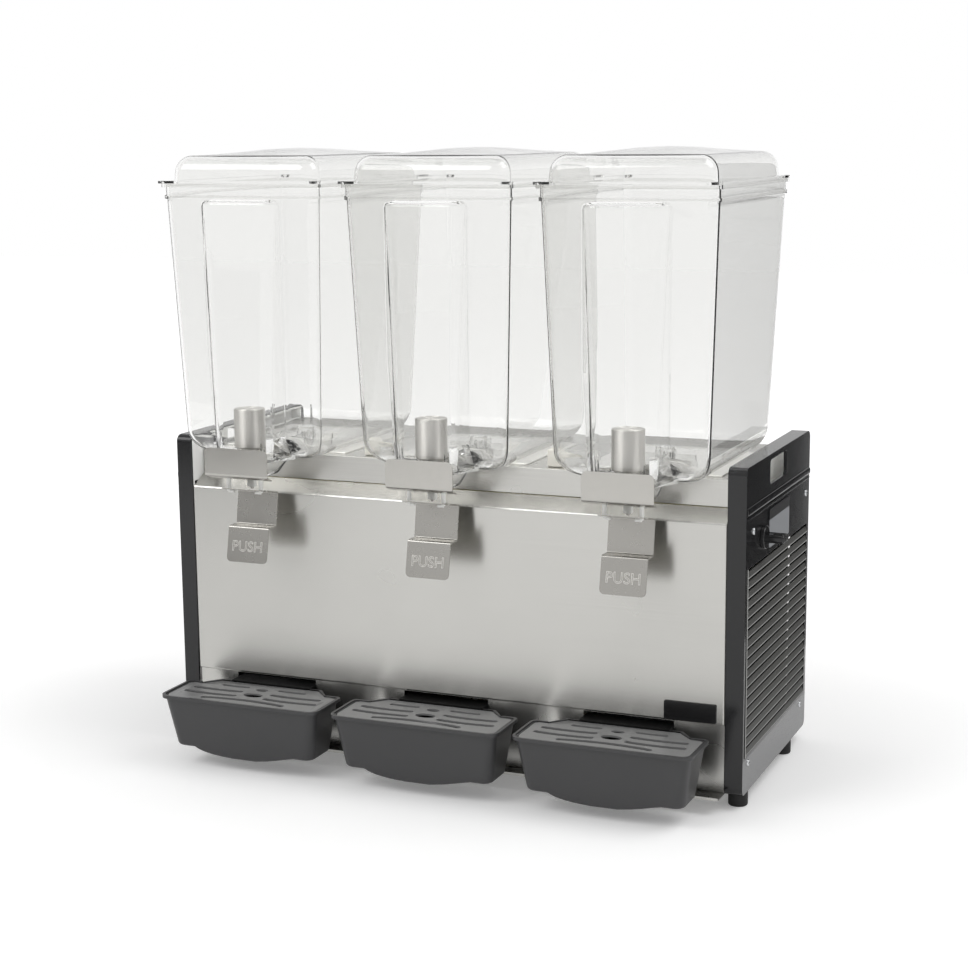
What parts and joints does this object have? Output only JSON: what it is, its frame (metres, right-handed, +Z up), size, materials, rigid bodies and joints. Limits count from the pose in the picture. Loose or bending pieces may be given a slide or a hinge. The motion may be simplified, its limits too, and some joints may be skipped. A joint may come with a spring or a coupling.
{
  "type": "refrigerated drink dispenser",
  "caption": "Countertop refrigerated drink dispenser: clear lift-off bowls with lids on a steel cabinet, push levers, weighted spout valves, stirrers, cooling fan and drip trays.",
  "frame": {"origin": "middle of the whole outline in X and Y, on the ground under the feet", "axes": "+X along the row of bowls to the right of a person facing the levers, +Y from the levers to the rear, +Z up"},
  "size_m": [0.6658, 0.3518, 0.653],
  "materials": {
    "brushed_steel": "brushed stainless steel sheet",
    "satin_steel": "satin stainless steel",
    "black_plastic": "glossy black moulded ABS",
    "black_control": "satin black moulded plastic",
    "grey_plastic": "satin dark grey moulded plastic",
    "clear_plastic": "clear moulded polycarbonate",
    "nylon": "off-white nylon",
    "rubber": "black rubber",
    "silicone": "translucent white silicone",
    "foam": null,
    "aluminium": "mill-finish aluminium",
    "black_paint": "black enamelled steel",
    "label": "blank grey printed film"
  },
  "bodies": {
    "cabinet": {"base_pan": "brushed_steel", "front_panel": "brushed_steel", "plinth_panel": "brushed_steel", "rear_panel": "brushed_steel", "side_panel_left": "black_plastic", "side_panel_right": "black_plastic", "deck_tray": "brushed_steel", "insulated_core": "foam", "cold_plate_1": "satin_steel", "cold_plate_2": "satin_steel", "cold_plate_3": "satin_steel", "stirrer_motor_1": "black_paint", "stirrer_motor_2": "black_paint", "stirrer_motor_3": "black_paint", "foot_1": "rubber", "foot_2": "rubber", "foot_3": "rubber", "foot_4": "rubber", "compressor": "black_paint", "condenser": "aluminium", "fan_shroud": "aluminium", "fan_motor": "black_paint", "thermostat": "black_control", "switch_housing": "black_control", "cord_inlet": "black_control", "badge_plate": "black_plastic", "rating_label": "label", "bowl_block_1": "nylon", "bowl_block_2": "nylon"},
    "fan": {"condenser_fan": "black_control"},
    "knob": {"thermostat_knob": "black_control"},
    "rocker": {"power_rocker": "black_control"},
    "bowl_unit_1": {"bowl_1": "clear_plastic", "guard_plate_1": "satin_steel"},
    "lid_unit_1": {"lid_1": "clear_plastic"},
    "lever_unit_1": {"push_lever_1": "satin_steel"},
    "valve_unit_1": {"valve_weight_1": "satin_steel", "valve_seal_1": "silicone"},
    "paddle_unit_1": {"stirrer_paddle_1": "clear_plastic"},
    "tray_unit_1": {"drip_tray_1": "grey_plastic"},
    "grille_unit_1": {"drip_grille_1": "grey_plastic"},
    "bowl_unit_2": {"bowl_2": "clear_plastic", "guard_plate_2": "satin_steel"},
    "lid_unit_2": {"lid_2": "clear_plastic"},
    "lever_unit_2": {"push_lever_2": "satin_steel"},
    "valve_unit_2": {"valve_weight_2": "satin_steel", "valve_seal_2": "silicone"},
    "paddle_unit_2": {"stirrer_paddle_2": "clear_plastic"},
    "tray_unit_2": {"drip_tray_2": "grey_plastic"},
    "grille_unit_2": {"drip_grille_2": "grey_plastic"},
    "bowl_unit_3": {"bowl_3": "clear_plastic", "guard_plate_3": "satin_steel"},
    "lid_unit_3": {"lid_3": "clear_plastic"},
    "lever_unit_3": {"push_lever_3": "satin_steel"},
    "valve_unit_3": {"valve_weight_3": "satin_steel", "valve_seal_3": "silicone"},
    "paddle_unit_3": {"stirrer_paddle_3": "clear_plastic"},
    "tray_unit_3": {"drip_tray_3": "grey_plastic"},
    "grille_unit_3": {"drip_grille_3": "grey_plastic"}
  },
  "joints": [
    {"name": "fan_spin", "type": "hinge", "parent": "cabinet", "child": "fan", "pos_m": [0.1906, 0.0441, 0.112], "axis": [1, 0, 0], "continuous": true},
    {"name": "knob_turn", "type": "hinge", "parent": "cabinet", "child": "knob", "pos_m": [0.3186, -0.0229, 0.268], "axis": [1, 0, 0], "range_deg": [0, 270]},
    {"name": "rocker_tilt", "type": "hinge", "parent": "cabinet", "child": "rocker", "pos_m": [0.2186, 0.1686, 0.27], "axis": [-1, 0, 0], "range_deg": [0, 13]},
    {"name": "bowl_lift_1", "type": "slide", "parent": "cabinet", "child": "bowl_unit_1", "axis": [0, 0, 1], "range_m": [0, 0.06]},
    {"name": "lid_lift_1", "type": "slide", "parent": "bowl_unit_1", "child": "lid_unit_1", "axis": [0, 0, 1], "range_m": [0, 0.05]},
    {"name": "lever_push_1", "type": "hinge", "parent": "bowl_unit_1", "child": "lever_unit_1", "pos_m": [-0.2209, -0.1339, 0.30195], "axis": [1, 0, 0], "range_deg": [0, 12]},
    {"name": "valve_rise_1", "type": "slide", "parent": "bowl_unit_1", "child": "valve_unit_1", "axis": [0, 0, 1], "range_m": [0, 0.00315]},
    {"name": "paddle_spin_1", "type": "hinge", "parent": "bowl_unit_1", "child": "paddle_unit_1", "pos_m": [-0.2209, 0.0041, 0.34], "axis": [0, 0, 1], "continuous": true},
    {"name": "tray_pull_1", "type": "slide", "parent": "cabinet", "child": "tray_unit_1", "axis": [0, -1, 0], "range_m": [0, 0.08]},
    {"name": "grille_lift_1", "type": "slide", "parent": "tray_unit_1", "child": "grille_unit_1", "axis": [0, 0, 1], "range_m": [0, 0.03]},
    {"name": "bowl_lift_2", "type": "slide", "parent": "cabinet", "child": "bowl_unit_2", "axis": [0, 0, 1], "range_m": [0, 0.06]},
    {"name": "lid_lift_2", "type": "slide", "parent": "bowl_unit_2", "child": "lid_unit_2", "axis": [0, 0, 1], "range_m": [0, 0.05]},
    {"name": "lever_push_2", "type": "hinge", "parent": "bowl_unit_2", "child": "lever_unit_2", "pos_m": [-0.0114, -0.1339, 0.30195], "axis": [1, 0, 0], "range_deg": [0, 12]},
    {"name": "valve_rise_2", "type": "slide", "parent": "bowl_unit_2", "child": "valve_unit_2", "axis": [0, 0, 1], "range_m": [0, 0.00315]},
    {"name": "paddle_spin_2", "type": "hinge", "parent": "bowl_unit_2", "child": "paddle_unit_2", "pos_m": [-0.0114, 0.0041, 0.34], "axis": [0, 0, 1], "continuous": true},
    {"name": "tray_pull_2", "type": "slide", "parent": "cabinet", "child": "tray_unit_2", "axis": [0, -1, 0], "range_m": [0, 0.08]},
    {"name": "grille_lift_2", "type": "slide", "parent": "tray_unit_2", "child": "grille_unit_2", "axis": [0, 0, 1], "range_m": [0, 0.03]},
    {"name": "bowl_lift_3", "type": "slide", "parent": "cabinet", "child": "bowl_unit_3", "axis": [0, 0, 1], "range_m": [0, 0.06]},
    {"name": "lid_lift_3", "type": "slide", "parent": "bowl_unit_3", "child": "lid_unit_3", "axis": [0, 0, 1], "range_m": [0, 0.05]},
    {"name": "lever_push_3", "type": "hinge", "parent": "bowl_unit_3", "child": "lever_unit_3", "pos_m": [0.1981, -0.1339, 0.30195], "axis": [1, 0, 0], "range_deg": [0, 12]},
    {"name": "valve_rise_3", "type": "slide", "parent": "bowl_unit_3", "child": "valve_unit_3", "axis": [0, 0, 1], "range_m": [0, 0.00315]},
    {"name": "paddle_spin_3", "type": "hinge", "parent": "bowl_unit_3", "child": "paddle_unit_3", "pos_m": [0.1981, 0.0041, 0.34], "axis": [0, 0, 1], "continuous": true},
    {"name": "tray_pull_3", "type": "slide", "parent": "cabinet", "child": "tray_unit_3", "axis": [0, -1, 0], "range_m": [0, 0.08]},
    {"name": "grille_lift_3", "type": "slide", "parent": "tray_unit_3", "child": "grille_unit_3", "axis": [0, 0, 1], "range_m": [0, 0.03]}
  ],
  "couplings": [
    {"joint": "valve_rise_1", "follows": "lever_push_1", "m_per_rad": 0.015},
    {"joint": "valve_rise_2", "follows": "lever_push_2", "m_per_rad": 0.015},
    {"joint": "valve_rise_3", "follows": "lever_push_3", "m_per_rad": 0.015}
  ]
}
